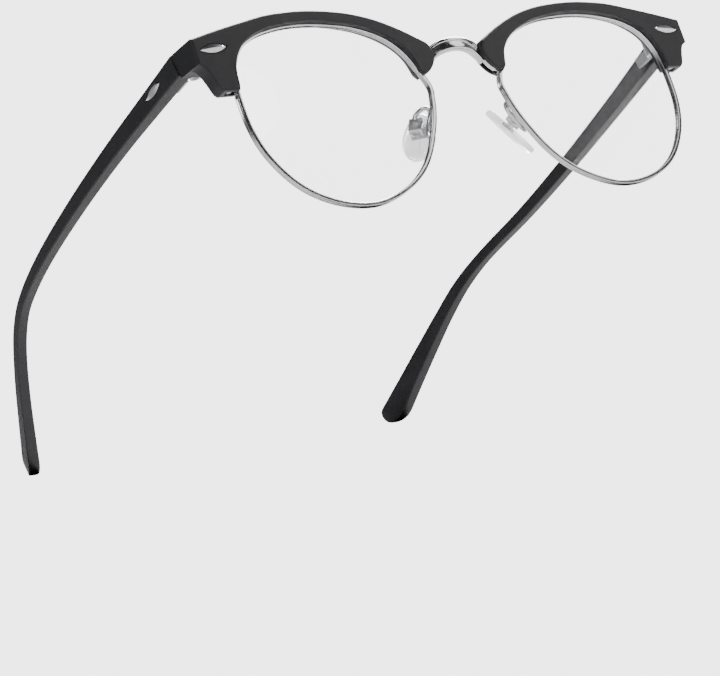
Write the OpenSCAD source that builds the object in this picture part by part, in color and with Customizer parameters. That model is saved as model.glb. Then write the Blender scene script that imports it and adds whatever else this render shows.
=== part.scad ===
// Browline eyeglasses: two moulded brow pieces carry the top of two metal eyewires.
// X runs from the wearer's right to the wearer's left, +Y to the back, +Z up.
// The glasses stand on the eyewires' bottoms and the temple tips, at z = 0.

/* [Lens and bridge] */
// Lens width, boxed
lens_w = 52; // [51:0.5:53]
// Distance between the two lenses
bridge_w = 21; // [20:0.5:22]
// Lens thickness
lens_t = 0.9; // [0.8:0.05:0.95]
// Lean of the front: its top is further forward than its bottom
front_tilt = 3.35; // [3:0.05:3.7]

/* [Eyewire] */
// Depth of the eyewire, front to back
rim_depth = 1.4; // [1.35:0.05:1.45]
// Distance from the lens edge to the outside of the eyewire
rim_out = 0.65; // [0.6:0.05:0.7]
// Overlap of each lip on the lens
rim_lip = 0.35; // [0.3:0.05:0.5]

/* [Brow] */
// Depth of the brow, front to back
brow_depth = 3.8; // [3.8:0.1:4.2]
// Thickness of the brow's front wall
brow_wall = 1.1; // [1:0.05:1.1]
// Distance from the front's face, at hinge height, back to the joint with the temple
butt_y = 7.1; // [7:0.05:7.2]

/* [Temple] */
// Thickness of the temple at the joint
temple_t = 3.6; // [3.4:0.1:3.8]
// Thickness of the temple at the tip
tip_t = 3.4; // [3.2:0.1:3.6]
// Fold of the wearer's left temple, in degrees from open
fold_left = 0; // [0:1:83]
// Fold of the wearer's right temple, in degrees from open
fold_right = 0; // [0:1:76]

/* [Hinge] */
// Radius of the hinge barrel
barrel_r = 1.35; // [1.25:0.05:1.4]
// Radius of the hinge screw
hinge_pin_r = 0.7; // [0.6:0.05:0.75]
// Height of the whole barrel
barrel_h = 4.6; // [4.4:0.1:4.6]

/* [Nose pads] */
// Length of a nose pad
pad_l = 14.2; // [13:0.1:15]
// Width of a nose pad
pad_w = 7.6; // [7:0.1:8]
// Thickness of a nose pad
pad_t = 1.7; // [1.5:0.1:2]
// Diameter of the pad arm's wire
arm_d = 1.1; // [1:0.05:1.2]

/* [Hidden] */
$fn = 48;

LEFT = 1;
RIGHT = -1;

black = [0.07, 0.07, 0.08];
silver = [0.8, 0.8, 0.82];
steel = [0.62, 0.62, 0.64];
clear = [0.85, 0.92, 0.95, 0.35];
silicone = [0.9, 0.93, 0.95, 0.5];

// Centres the model in Y, so that the origin is under its middle
y_mid = 71.5;
// Where the front's own frame stands, its face crossing y = 0 at the height of the hinges
front_y = 2.33 - y_mid;
// Clearance all round a part that is let into another
gap = 0.04;
// Depths of the eyewire's front and back
rim_a = brow_wall + 0.05;
rim_b = rim_a + rim_depth;

// ---------- curves ----------

function spline(a, b, c, d, t) =
    0.5 * (2 * b + (c - a) * t + (2 * a - 5 * b + 4 * c - d) * t * t + (3 * b - a - 3 * c + d) * t * t * t);

// A closed smooth curve through the points, n steps between each two
function loop_curve(p, n) =
    let (m = len(p))
    [for (i = [0:m - 1], k = [0:n - 1])
        spline(p[(i + m - 1) % m], p[i], p[(i + 1) % m], p[(i + 2) % m], k / n)];

// An open smooth curve through the points, ends included
function open_curve(p, n) =
    let (m = len(p))
    concat([for (i = [0:m - 2], k = [0:n - 1])
        spline(p[max(i - 1, 0)], p[i], p[i + 1], p[min(i + 2, m - 1)], k / n)], [p[m - 1]]);

function turned(v) = [v[1], -v[0]] / norm(v);

// A closed anticlockwise curve, moved outwards by r
function grown(p, r) =
    let (m = len(p))
    [for (i = [0:m - 1]) p[i] + r * turned(p[(i + 1) % m] - p[(i + m - 1) % m])];

// An open curve, moved to its right by r
function beside(p, r) =
    let (m = len(p))
    [for (i = [0:m - 1]) p[i] + r * turned(p[min(i + 1, m - 1)] - p[max(i - 1, 0)])];

function reversed(p) = [for (i = [len(p) - 1:-1:0]) p[i]];

// A vesica of length l and height h, n steps a side, on round arcs
function vesica(l, h, n) =
    let (r = (l * l + h * h) / (4 * h), a = asin(l / 2 / r))
    concat(
        [for (i = [0:n - 1]) let (t = -a + 2 * a * i / n) [r * sin(t), r * cos(t) - (r - h / 2)]],
        [for (i = [0:n - 1]) let (t = a - 2 * a * i / n) [r * sin(t), (r - h / 2) - r * cos(t)]]);

// ---------- outlines of one half of the front, x from the nose, v up the front ----------

// The lens edge, drawn for a 52 mm lens and a 21 mm bridge, then fitted to both
lens_points = [
    [10.5, 28], [10.9, 25], [11.7, 22], [12.9, 18.9], [14.6, 15.6], [16.9, 11.8], [20, 8.2], [24.2, 5],
    [29.4, 2.5], [34.6, 1], [39.7, 0.8], [45, 1.7], [50, 3.6], [54.4, 6.5], [57.9, 10.4], [60.6, 15.1],
    [62.1, 20.3], [62.5, 25.5], [62.3, 30.5], [61.2, 35.2], [58.6, 39.3], [54.5, 42], [50, 43.5],
    [44.5, 44.5], [38.7, 44.8], [33, 44.5], [27.5, 43.8], [22.2, 42.2], [17.8, 39.9], [14.4, 36.5], [12.2, 32.3]
];
lens_curve = loop_curve(lens_points, 4);
// The lift that puts the bottom of the eyewire on z = 0
lens_lift = rim_out - min([for (p = lens_curve) p[1]]) - rim_a * tan(front_tilt);
lens_edge = [for (p = lens_curve) fitted(p) + [0, lens_lift]];

function fitted(p) = [bridge_w / 2 + (p[0] - 10.5) * lens_w / 52, p[1]];

brow_top = [
    [7.45, 37.3], [8.2, 38.4], [10.4, 39.75], [14.8, 42.2], [20.7, 44.75], [27, 46.45], [33, 47.25],
    [39, 47.55], [44.5, 47.35], [50, 46.75], [55.5, 45.55], [61, 44.25], [66.5, 42.85], [72.3, 41.4]
];
brow_under = [
    [62.6, 29], [62.2, 30.2], [61.9, 33], [61.3, 35.2], [60.1, 37.5], [57.7, 40.1], [53.5, 42.5], [48.3, 44],
    [42, 44.8], [36, 44.8], [30.5, 44.2], [25, 43], [20, 41], [16.2, 38.5], [14, 35.9], [13, 33.3], [12.6, 31.6]
];
nasal_end = [[11.6, 30.5], [10.2, 31], [8.9, 32], [7.8, 33.4], [7.2, 34.9], [7.1, 36.2]];
end_side = [
    [72.4, 35.4], [71.3, 35.4], [70.5, 35.15], [69.7, 34.5], [69, 33.4], [68.4, 32], [67.9, 30.6],
    [67.4, 29.5], [66.7, 28.9]
];
brow_outline = [for (p = concat(
    open_curve(brow_under, 4), open_curve(nasal_end, 3), open_curve(brow_top, 4), end_side)) fitted(p)];
// The end's rounded corner and its side, seen from above
end_plan = [[70.7, -1], [70.7, 0], [71, 0.15], [71.25, 0.5], [72.2, 7.8], [73, 12], [80, 12], [80, -1]];
end_block = [for (p = [[65.6, 35.4], [72.4, 35.4], [72.3, 41.4], [65.6, 43.1]]) fitted(p)];

// ---------- frames ----------

// One half of the front: x from the nose, y into the frame, z up the front
module front_half(side) {
    mirror([side == RIGHT ? 1 : 0, 0, 0])
        translate([0, front_y, 0])
            rotate([front_tilt, 0, 0])
                children();
}

// An outline in x and v, solid from depth a to depth b
module slab(outline, a, b) {
    translate([0, b, 0])
        rotate([90, 0, 0])
            linear_extrude(b - a)
                polygon(outline);
}

// A round bar along the depth of the front
module cross_bar(x, v, a, b, r) {
    translate([x, b, v])
        rotate([90, 0, 0])
            cylinder(h = b - a, r = r);
}

module sided(side) {
    mirror([side == RIGHT ? 1 : 0, 0, 0])
        translate([0, -y_mid, 0])
            children();
}

// ---------- eyewire and lens ----------

groove_a = rim_a + (rim_depth - lens_t) / 2 - gap;
groove_b = rim_b - (rim_depth - lens_t) / 2 + gap;

module rim(side) {
    color(silver) front_half(side) difference() {
        slab(grown(lens_edge, rim_out), rim_a, rim_b);
        slab(grown(lens_edge, -rim_lip), rim_a - 1, rim_b + 1);
        slab(grown(lens_edge, 0.1), groove_a, groove_b);
    }
}

module lens(side) {
    color(clear) front_half(side)
        slab(grown(lens_edge, 0.05), groove_a + gap, groove_b - gap);
}

// ---------- brow ----------

plaque_at = [66.1, 39.1];
plaque_turn = -6;
plaque_l = 6.9;
plaque_h = 2;
plaque_sink = 0.5;
plaque_t = 0.7;

plate_a = 1.4;
plate_b = 2.5;
plate_screw_at = [10.9, 35.6];
plate_screw_r = 0.55;
plate_head_r = 1;

bridge_t = 1.8;

lock_x = 64.6;
lock_a = 1.2;
lock_b = 2.6;
lock_low = 29.6;
lock_mid = 31.5;
lock_high = 33.4;
lock_w = 1.8;
lock_screw_r = 0.4;

module placed_vesica(l, h) {
    translate(plaque_at)
        rotate(plaque_turn)
            polygon(vesica(l, h, 10));
}

// Everything behind the joint between the endpiece and the temple, g further back
module behind_butt(g) {
    translate([hinge_x - 20, butt_y, butt_z])
        rotate([-butt_lean, 0, 0])
            translate([0, g, -30])
                cube([40, 200, 60]);
}

module brow(side) {
    color(black) difference() {
        front_half(side) {
            slab(brow_outline, 0, brow_depth);
            slab(end_block, 0.5, 10);
        }
        front_half(side) translate([0, 0, 25]) linear_extrude(25) polygon(end_plan);
        sided(side) behind_butt(0);
        front_half(side) {
            // channel for the top of the eyewire
            slab(grown(lens_edge, rim_out + gap), rim_a - gap, rim_b + gap);
            // slot for the bridge plate, open towards the nose
            slab(slot_outline, plate_a - gap, plate_b + gap);
            // mouth for the bridge's end
            slab([[5, 30], [10.1, 30], [10.1, 35.7], [9.1, 36.9], [7.6, 38.5], [5, 38.5]],
                bridge_end - 0.05, bridge_end + bridge_t + 0.1);
            // pocket for the eyewire's lock, open below
            translate([lock_x - lock_w / 2 - 1, lock_a - 0.1, 27])
                cube([lock_w + 1.15, lock_b - lock_a + 0.2, lock_high + 0.1 - 27]);
            // recess for the plaque
            translate([0, plaque_sink, 0])
                rotate([90, 0, 0])
                    linear_extrude(2)
                        placed_vesica(plaque_l + 0.4, plaque_h + 0.3);
            // hole and counterbore for the plate screw
            cross_bar(plate_screw_at[0], plate_screw_at[1], plate_a, 9, plate_screw_r);
            cross_bar(plate_screw_at[0], plate_screw_at[1], brow_depth - 0.6, 9, plate_head_r + 0.1);
        }
        sided(side) hinge_room();
    }
}

module front_plaque(side) {
    color(silver) front_half(side)
        translate([0, plaque_sink, 0])
            rotate([90, 0, 0])
                linear_extrude(plaque_t)
                    placed_vesica(plaque_l, plaque_h);
}

// ---------- bridge ----------

// Its middle line from the front, its face from above, and the channel along it
bridge_middle = [
    [-8.5, 34.2], [-7.6, 35.4], [-6.3, 36.35], [-4.6, 37.1], [-2.6, 37.5], [0, 37.65],
    [2.6, 37.5], [4.6, 37.1], [6.3, 36.35], [7.6, 35.4], [8.5, 34.2]
];
bridge_end = 1.15;
bridge_face = [
    [-9.5, bridge_end], [-7.6, bridge_end], [-6, 0.7], [-4, 0], [-2, -0.45], [0, -0.6],
    [2, -0.45], [4, 0], [6, 0.7], [7.6, bridge_end], [9.5, bridge_end]
];
bridge_half = 1.55;
channel_up = 0.25;
channel_half = 0.75;
channel_depth = 0.5;
channel_middle = [for (p = bridge_middle) if (abs(p[0]) < 7) p];

function band(p, r) = concat(beside(p, r), reversed(beside(p, -r)));

// The part of the bridge's height in the band along a line, between two depths from its face
module bridge_band(line, half, a, b) {
    face = open_curve(bridge_face, 4);
    intersection() {
        slab(band(line, half), -4, 6);
        translate([0, 0, 30])
            linear_extrude(14)
                polygon(concat([for (p = face) p + [0, a]], reversed([for (p = face) p + [0, b]])));
    }
}

module bridge() {
    color(silver) front_half(LEFT) difference() {
        bridge_band(open_curve(bridge_middle, 4), bridge_half, 0, bridge_t);
        bridge_band(beside(open_curve(channel_middle, 4), -channel_up), channel_half, -2, channel_depth);
    }
}

plate_outline = [
    [8.2, 38.1], [7.5, 36.7], [7.5, 35.2], [8.05, 33.7], [9, 32.3], [10.2, 31.3], [11.5, 30.8], [12.2, 32.4],
    [13.2, 35.4], [14.6, 38.1], [14.2, 39.6], [13.2, 40.1], [10.6, 39.1]
];
slot_outline = [
    [8.16, 38.15], [6, 37.7], [6, 30], [11.5, 29], [12.4, 31.8], [13.3, 34.8], [14.8, 38.1], [14.3, 39.65],
    [13.2, 40.15], [10.6, 39.15]
];

module bridge_plate(side) {
    color(silver) front_half(side) difference() {
        slab(plate_outline, plate_a, plate_b);
        slab(grown(lens_edge, rim_out + gap), rim_a - 1, rim_b + 1);
        cross_bar(plate_screw_at[0], plate_screw_at[1], 0, 9, plate_screw_r);
    }
}

module plate_screws() {
    color(steel) for (side = [LEFT, RIGHT]) front_half(side) difference() {
        union() {
            cross_bar(plate_screw_at[0], plate_screw_at[1], plate_a, brow_depth - 0.3, plate_screw_r);
            cross_bar(plate_screw_at[0], plate_screw_at[1],
                brow_depth - 0.6, brow_depth - 0.05, plate_head_r);
        }
        translate([plate_screw_at[0] - 2, brow_depth - 0.3, plate_screw_at[1] - 0.13]) cube([4, 1, 0.26]);
    }
}

// ---------- eyewire lock: two blocks on the eyewire's ends, drawn together by a screw ----------

module rim_lock(side) {
    color(silver) front_half(side) difference() {
        for (span = [[lock_low, lock_mid - 0.05], [lock_mid + 0.05, lock_high]])
            translate([lock_x - lock_w / 2, lock_a, span[0]])
                cube([lock_w, lock_b - lock_a, span[1] - span[0]]);
        slab(grown(lens_edge, rim_out + 0.01), rim_a - 1, rim_b + 1);
        translate([lock_x, (lock_a + lock_b) / 2, lock_low - 1]) cylinder(h = 4.5, r = lock_screw_r);
    }
}

module rim_lock_screws() {
    color(steel) for (side = [LEFT, RIGHT]) front_half(side)
        translate([lock_x, (lock_a + lock_b) / 2, 0]) difference() {
            union() {
                translate([0, 0, lock_low - 0.5]) cylinder(h = 0.5, r = 0.7);
                translate([0, 0, lock_low - 0.5]) cylinder(h = 4, r = lock_screw_r);
            }
            translate([-1, -0.12, lock_low - 0.75]) cube([2, 0.24, 0.5]);
        }
}

// ---------- hinge ----------

hinge_x = 67;
hinge_y = 8.5;
butt_z = 39;
butt_lean = 8.5;
butt_gap = 0.1;
hinge_low = 36.65;
leaf_t = 0.9;
knuckle_gap = 0.08;
knuckle_h = barrel_h / 3;
leaf_front_l = 6;
leaf_back_from = 1.8;
leaf_back_to = 6.7;
leaf_back_low = 36.8;
leaf_back_high = 39.4;
leaf_back_x = 0.75;

// Barrel levels: [low, high] of each knuckle, from the bottom
knuckles = [for (i = [0:2]) [
    hinge_low + i * knuckle_h + (i > 0 ? knuckle_gap : 0),
    hinge_low + (i + 1) * knuckle_h - (i < 2 ? knuckle_gap : 0)]];

module at_hinge() {
    translate([hinge_x, hinge_y, 0]) children();
}

module knuckle(level) {
    translate([0, 0, level[0]]) cylinder(h = level[1] - level[0], r = barrel_r);
}

// What the brow leaves free: a round well for the barrel and a slot for the leaf
module hinge_room() {
    at_hinge() {
        translate([0, 0, hinge_low - 5]) cylinder(h = 20, r = barrel_r + 0.3);
        translate([-4, -barrel_r - 0.3, hinge_low - 5]) cube([4, 8, 20]);
        front_leaf_plate(0.03);
    }
}

module front_leaf_plate(g) {
    translate([-leaf_t / 2 - g, -leaf_front_l, hinge_low + 0.5 - g])
        cube([leaf_t + 2 * g, leaf_front_l - barrel_r - 0.35, barrel_h - 1 + 2 * g]);
}

module hinge_front(side) {
    color(steel) sided(side) at_hinge() difference() {
        union() {
            knuckle(knuckles[0]);
            knuckle(knuckles[2]);
            front_leaf_plate(0);
            for (k = [knuckles[0], knuckles[2]])
                translate([-leaf_t / 2, -leaf_front_l, k[0] + 0.1])
                    cube([leaf_t, leaf_front_l - hinge_pin_r - 0.1, k[1] - k[0] - 0.1]);
        }
        translate([0, 0, hinge_low - 1]) cylinder(h = barrel_h + 2, r = hinge_pin_r);
    }
}

module back_leaf_plate(g) {
    translate([leaf_back_x - g, leaf_back_from - g, leaf_back_low - g])
        cube([leaf_t + 2 * g, leaf_back_to - leaf_back_from + 2 * g, leaf_back_high - leaf_back_low + 2 * g]);
}

module back_leaf_neck(g) {
    translate([leaf_back_x - g, 0.4, knuckles[1][0] - g])
        cube([leaf_t + 2 * g, leaf_back_from, knuckles[1][1] - knuckles[1][0] + 2 * g]);
}

module hinge_temple_shape() {
    at_hinge() difference() {
        union() {
            knuckle(knuckles[1]);
            back_leaf_neck(0);
            back_leaf_plate(0);
        }
        translate([0, 0, hinge_low - 1]) cylinder(h = barrel_h + 2, r = hinge_pin_r + 0.05);
    }
}

module hinge_screws() {
    color(steel) for (side = [LEFT, RIGHT]) sided(side) at_hinge() difference() {
        union() {
            translate([0, 0, hinge_low + 0.1]) cylinder(h = barrel_h - 0.1, r = hinge_pin_r);
            translate([0, 0, hinge_low + barrel_h]) cylinder(h = 0.4, r = 1.15);
        }
        translate([-2, -0.15, hinge_low + barrel_h + 0.2]) cube([4, 0.3, 1]);
    }
}

// ---------- temple ----------

root_y = 6;
temple_top = [
    [root_y, 42.05], [20.4, 39.9], [40.4, 37.2], [60.4, 34.4], [80.3, 31.6], [92.3, 29.9], [101.3, 28],
    [109.3, 25.1], [117.2, 20.7], [125.2, 15.8], [133.1, 10.7], [140.6, 5.9]
];
temple_bottom = [
    [root_y, 36.45], [20.4, 35.1], [40.3, 33.1], [60.3, 30.8], [80.3, 28.4], [91.3, 27], [99.3, 25.4],
    [107.2, 22.4], [114.7, 18], [122.5, 12.3], [130.1, 6.3], [136.2, 1.3]
];
temple_tip = [[138.6, 0.1], [140.8, 0], [142.6, 1], [143.4, 2.8], [142.7, 4.6]];
temple_side = concat(open_curve(temple_top, 4), reversed(temple_tip), reversed(open_curve(temple_bottom, 4)));

// The outer face seen from above, and the thickness along it
temple_out = [
    [72.3, root_y], [73.4, 20], [74.6, 38], [75.2, 58], [74.7, 78], [72.6, 95], [69.7, 108], [66.1, 120],
    [62.3, 131], [57.8, 143.6]
];
temple_out_line = open_curve(temple_out, 4);

function temple_thick(y) =
    lookup(y, [[0, temple_t], [12, temple_t], [30, 3.2], [60, 2.9], [100, 2.6], [144, tip_t]]);

temple_in_line = [for (p = temple_out_line) p - [temple_thick(p[1]), 0]];

temple_plaque_y = 16.8;
temple_plaque_z = 38.4;
temple_plaque_l = 6.3;
temple_plaque_turn = -8;

function out_x(y) = lookup(y, [for (p = temple_out_line) [p[1], p[0]]]);

module temple_plaque_prism(l, h, a, b) {
    x0 = out_x(temple_plaque_y);
    slope = atan2(out_x(temple_plaque_y + 3) - out_x(temple_plaque_y - 3), 6);
    translate([x0, temple_plaque_y, temple_plaque_z])
        rotate([0, 0, 90 - slope])
            translate([0, -b, 0])
                rotate([90, 0, 0])
                    translate([0, 0, a - b])
                        linear_extrude(b - a)
                            rotate(temple_plaque_turn)
                                polygon(vesica(l, h, 10));
}

module temple_shape() {
    difference() {
        intersection() {
            // side view
            translate([40, 0, 0]) rotate([90, 0, 90]) linear_extrude(60) polygon(temple_side);
            // top view
            translate([0, 0, -5]) linear_extrude(60)
                polygon(concat(temple_out_line, reversed(temple_in_line)));
        }
        at_hinge() {
            translate([0, 0, hinge_low - 5]) cylinder(h = 20, r = barrel_r + 0.3);
            back_leaf_plate(0.02);
            back_leaf_neck(0.02);
        }
        temple_plaque_prism(temple_plaque_l + 0.4, plaque_h + 0.2, -plaque_sink, 2);
        // in front of the joint with the endpiece
        translate([hinge_x - 20, butt_y + butt_gap, butt_z])
            rotate([-butt_lean, 0, 0])
                translate([0, -20, -30])
                    cube([40, 20, 60]);
    }
}

module opened(side) {
    turn = side == LEFT ? fold_left : fold_right;
    sided(side)
        at_hinge()
            rotate([0, 0, turn])
                translate([-hinge_x, -hinge_y, 0])
                    children();
}

module temple(side) {
    color(black) opened(side) temple_shape();
}

module hinge_temple(side) {
    color(steel) opened(side) hinge_temple_shape();
}

module temple_plaque(side) {
    color(silver) opened(side) temple_plaque_prism(temple_plaque_l, plaque_h - 0.1, -plaque_sink, 0.2);
}

// ---------- nose pads ----------

// The middle of the pad's back, and the turn that stands the pad in its place
pad_mid = [13.35, 8.3, 19.6];
pad_turn = [-27, -16, 50];
// How far the pad hangs below the middle of its box
pad_drop = 0.9;
pin_back = 1.3;
box_size = [3, 2.2, 3.6];
box_wall = 0.45;
lug_w = box_size[0] - 2 * box_wall - 0.12;
pad_pin_r = 0.4;
pad_pin_gap = 0.05;

// The pad's own frame: x across the pad, z along it, and -y from the pad towards its box
module at_pad(side) {
    sided(side)
        translate(pad_mid)
            rotate(pad_turn)
                children();
}

function pad_outline(l, w) = [for (a = [0:10:350])
    let (narrow = 1 - 0.1 * sin(a)) [w / 2 * narrow * cos(a), l / 2 * sin(a) - pad_drop]];

module nose_pad(side) {
    color(silicone) at_pad(side) difference() {
        union() {
            slab(pad_outline(pad_l - 1, pad_w - 1), 0, pad_t);
            slab(pad_outline(pad_l, pad_w), 0.4, pad_t - 0.4);
        }
        translate([-1.6, -0.1, -1.6]) cube([3.2, 0.7, 3.2]);
    }
}

module pad_lug(side) {
    color(clear) at_pad(side) difference() {
        union() {
            translate([-1.58, 0, -1.58]) cube([3.16, 0.58, 3.16]);
            translate([-lug_w / 2, -2, -0.9]) cube([lug_w, 2.1, 1.8]);
        }
        translate([-3, -pin_back, 0]) rotate([0, 90, 0]) cylinder(h = 6, r = pad_pin_r + pad_pin_gap);
    }
}

module pad_box(side) {
    color(silver) at_pad(side)
        translate([-box_size[0] / 2, -2.9, -box_size[2] / 2]) difference() {
            cube(box_size);
            translate([box_wall, box_wall, -1]) cube([box_size[0] - 2 * box_wall, 5, box_size[2] + 2]);
            translate([-1, 2.9 - pin_back, box_size[2] / 2]) rotate([0, 90, 0]) cylinder(h = 6, r = pad_pin_r);
        }
}

module pad_screws() {
    color(steel) for (side = [LEFT, RIGHT]) at_pad(side)
        translate([-box_size[0] / 2, -pin_back, 0]) rotate([0, 90, 0]) {
            cylinder(h = box_size[0], r = pad_pin_r);
            translate([0, 0, box_size[0]]) cylinder(h = 0.35, r = 0.65);
        }
}

// The arm's route from the eyewire's back, up and over to the box
arm_route = [
    [14.2, 4.5, 16.4], [14, 5, 17.2], [13.2, 5.1, 18.9], [12, 4.9, 20.8], [11.3, 4.6, 22.2], [11.3, 4.5, 23.2],
    [11.9, 4.6, 23.75], [12.8, 4.95, 23.65], [13.75, 5.5, 23.2], [14.6, 5.95, 22.5], [15.13, 6.1, 21.5]
];

function unit(v) = v / norm(v);

// Rings of a round bar swept along a route
function bar_rings(p, r, n) =
    let (m = len(p))
    [for (i = [0:m - 1])
        let (
            t = unit(p[min(i + 1, m - 1)] - p[max(i - 1, 0)]),
            u = unit(cross(t, [0.1, 1, 0.1])),
            w = cross(t, u))
        for (k = [0:n - 1]) p[i] + r * (cos(360 * k / n) * u + sin(360 * k / n) * w)];

module bar(p, r, n) {
    m = len(p);
    polyhedron(bar_rings(p, r, n), concat(
        [[for (k = [n - 1:-1:0]) k]],
        [for (i = [0:m - 2], k = [0:n - 1])
            [i * n + k, i * n + (k + 1) % n, (i + 1) * n + (k + 1) % n, (i + 1) * n + k]],
        [[for (k = [0:n - 1]) (m - 1) * n + k]]));
}

module pad_arm(side) {
    color(silver) sided(side) bar(open_curve(arm_route, 3), arm_d / 2, 10);
}

// ---------- parts ----------

brow(LEFT);  // browline_left
brow(RIGHT);  // browline_right
rim(LEFT);  // rim_left
rim(RIGHT);  // rim_right
lens(LEFT);  // lens_left
lens(RIGHT);  // lens_right
bridge();
bridge_plate(LEFT);  // bridge_plate_left
bridge_plate(RIGHT);  // bridge_plate_right
plate_screws();
rim_lock(LEFT);  // rim_lock_left
rim_lock(RIGHT);  // rim_lock_right
rim_lock_screws();
front_plaque(LEFT);  // front_plaque_left
front_plaque(RIGHT);  // front_plaque_right
hinge_front(LEFT);  // hinge_front_left
hinge_front(RIGHT);  // hinge_front_right
hinge_screws();
pad_arm(LEFT);  // pad_arm_left
pad_arm(RIGHT);  // pad_arm_right
pad_box(LEFT);  // pad_box_left
pad_box(RIGHT);  // pad_box_right
pad_screws();
temple(LEFT);  // temple_left
hinge_temple(LEFT);  // hinge_temple_left
temple_plaque(LEFT);  // temple_plaque_left
temple(RIGHT);  // temple_right
hinge_temple(RIGHT);  // hinge_temple_right
temple_plaque(RIGHT);  // temple_plaque_right
nose_pad(LEFT);  // nose_pad_left
pad_lug(LEFT);  // pad_lug_left
nose_pad(RIGHT);  // nose_pad_right
pad_lug(RIGHT);  // pad_lug_right
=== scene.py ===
"""Browline eyeglasses: the visible pieces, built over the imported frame.

Shapes are drawn in millimetres, in the same frames as the design, and turned
into metres when a piece is finished.
"""
import math

import bmesh
import bpy
from mathutils import Matrix, Vector


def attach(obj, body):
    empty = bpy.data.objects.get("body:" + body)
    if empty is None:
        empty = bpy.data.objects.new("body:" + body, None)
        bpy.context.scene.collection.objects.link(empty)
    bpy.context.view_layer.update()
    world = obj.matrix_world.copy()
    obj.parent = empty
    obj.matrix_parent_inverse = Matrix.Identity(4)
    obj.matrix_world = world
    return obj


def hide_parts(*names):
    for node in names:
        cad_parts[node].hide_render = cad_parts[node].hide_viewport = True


bl_info = {
    "name": "Browline eyeglasses",
    "version": (1, 0, 0),
    "blender": (4, 5, 0),
    "location": "3D View > Sidebar > Eyeglasses",
    "description": "Moulded brows, metal eyewires, bridge, hinged temples and rocking nose pads",
    "category": "Add Mesh",
}

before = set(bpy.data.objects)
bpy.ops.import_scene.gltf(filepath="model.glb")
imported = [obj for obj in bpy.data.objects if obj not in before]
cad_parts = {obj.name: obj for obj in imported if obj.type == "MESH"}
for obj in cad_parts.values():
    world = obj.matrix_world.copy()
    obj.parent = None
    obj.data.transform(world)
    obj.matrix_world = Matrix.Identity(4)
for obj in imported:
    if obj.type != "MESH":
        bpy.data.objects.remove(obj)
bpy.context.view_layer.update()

MM = 0.001
SIDES = {"left": 1, "right": -1}

# ---------- the design's numbers, in millimetres and degrees ----------

Y_MID = 71.5
FRONT_Y = 2.33 - Y_MID
FRONT_TILT = 3.35
GAP = 0.04
LENS_T = 0.9
RIM_A = 1.15
RIM_DEPTH = 1.4
RIM_B = RIM_A + RIM_DEPTH
RIM_OUT = 0.65
RIM_LIP = 0.35
GROOVE_A = RIM_A + (RIM_DEPTH - LENS_T) / 2 - GAP
GROOVE_B = RIM_B - (RIM_DEPTH - LENS_T) / 2 + GAP
BROW_DEPTH = 3.8
PAST_BACK = 9
BUTT_Y = 7.1
BUTT_Z = 39
BUTT_LEAN = 8.5
BUTT_GAP = 0.1
# Boxes behind and ahead of the joint, in its own frame
BEHIND_BUTT = ((0, 0, -30), (40, 200, 30))
AHEAD_OF_BUTT = ((0, -20, -30), (40, 0, 30))

HINGE_X = 67
HINGE_Y = 8.5
HINGE_LOW = 36.65
BARREL_R = 1.35
BARREL_H = 4.6
PIN_R = 0.7
# The round well that the brow and the temple leave for the barrel
WELL_R = BARREL_R + 0.3
WELL_BELOW = 5
WELL_ABOVE = 15
# The slots for the leaves, in x and y from the hinge's axis and in z from the ground
LEAF_HALF = 0.48
LEAF_INSET = 0.47
LEAF_FRONT_L = 6
LEAF_BACK_X = (0.73, 1.67)
LEAF_BACK_Y = (1.78, 6.72)
LEAF_BACK_Z = (36.78, 39.42)
NECK_Y = (0.38, 2.22)

PLATE_A = 1.4
PLATE_B = 2.5
PLATE_SCREW = (10.9, 35.6)
PLATE_SCREW_R = 0.55
PLATE_HEAD_HOLE_R = 1.1
PLATE_HEAD_SINK = 0.6
LOCK_X = 64.6
LOCK_A = 1.2
LOCK_B = 2.6
LOCK_LOW = 29.6
LOCK_HIGH = 33.4
# The pocket round the lock, from its middle, and how far down it is open
LOCK_POCKET = (-1.9, 1.05)
LOCK_POCKET_LOW = 27

PLAQUE_AT = (66.1, 39.1)
PLAQUE_TURN = -6
PLAQUE_L = 6.9
PLAQUE_H = 2
PLAQUE_SINK = 0.5
PLAQUE_STEPS = 14
TEMPLE_PLAQUE = (16.8, 38.4)
TEMPLE_PLAQUE_L = 6.3
TEMPLE_PLAQUE_H = 1.9
TEMPLE_PLAQUE_TURN = -8

LENS_POINTS = [
    (10.5, 28), (10.9, 25), (11.7, 22), (12.9, 18.9), (14.6, 15.6), (16.9, 11.8), (20, 8.2), (24.2, 5),
    (29.4, 2.5), (34.6, 1), (39.7, 0.8), (45, 1.7), (50, 3.6), (54.4, 6.5), (57.9, 10.4), (60.6, 15.1),
    (62.1, 20.3), (62.5, 25.5), (62.3, 30.5), (61.2, 35.2), (58.6, 39.3), (54.5, 42), (50, 43.5),
    (44.5, 44.5), (38.7, 44.8), (33, 44.5), (27.5, 43.8), (22.2, 42.2), (17.8, 39.9), (14.4, 36.5),
    (12.2, 32.3),
]
BROW_TOP = [
    (7.45, 37.3), (8.2, 38.4), (10.4, 39.75), (14.8, 42.2), (20.7, 44.75), (27, 46.45), (33, 47.25),
    (39, 47.55), (44.5, 47.35), (50, 46.75), (55.5, 45.55), (61, 44.25), (66.5, 42.85), (72.3, 41.2),
]
BROW_UNDER = [
    (62.6, 29), (62.2, 30.2), (61.9, 33), (61.3, 35.2), (60.1, 37.5), (57.7, 40.1), (53.5, 42.5),
    (48.3, 44), (42, 44.8), (36, 44.8), (30.5, 44.2), (25, 43), (20, 41), (16.2, 38.5), (14, 35.9),
    (13, 33.3), (12.6, 31.6),
]
NASAL_END = [(11.6, 30.5), (10.2, 31), (8.9, 32), (7.8, 33.4), (7.2, 34.9), (7.1, 36.2)]
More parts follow.
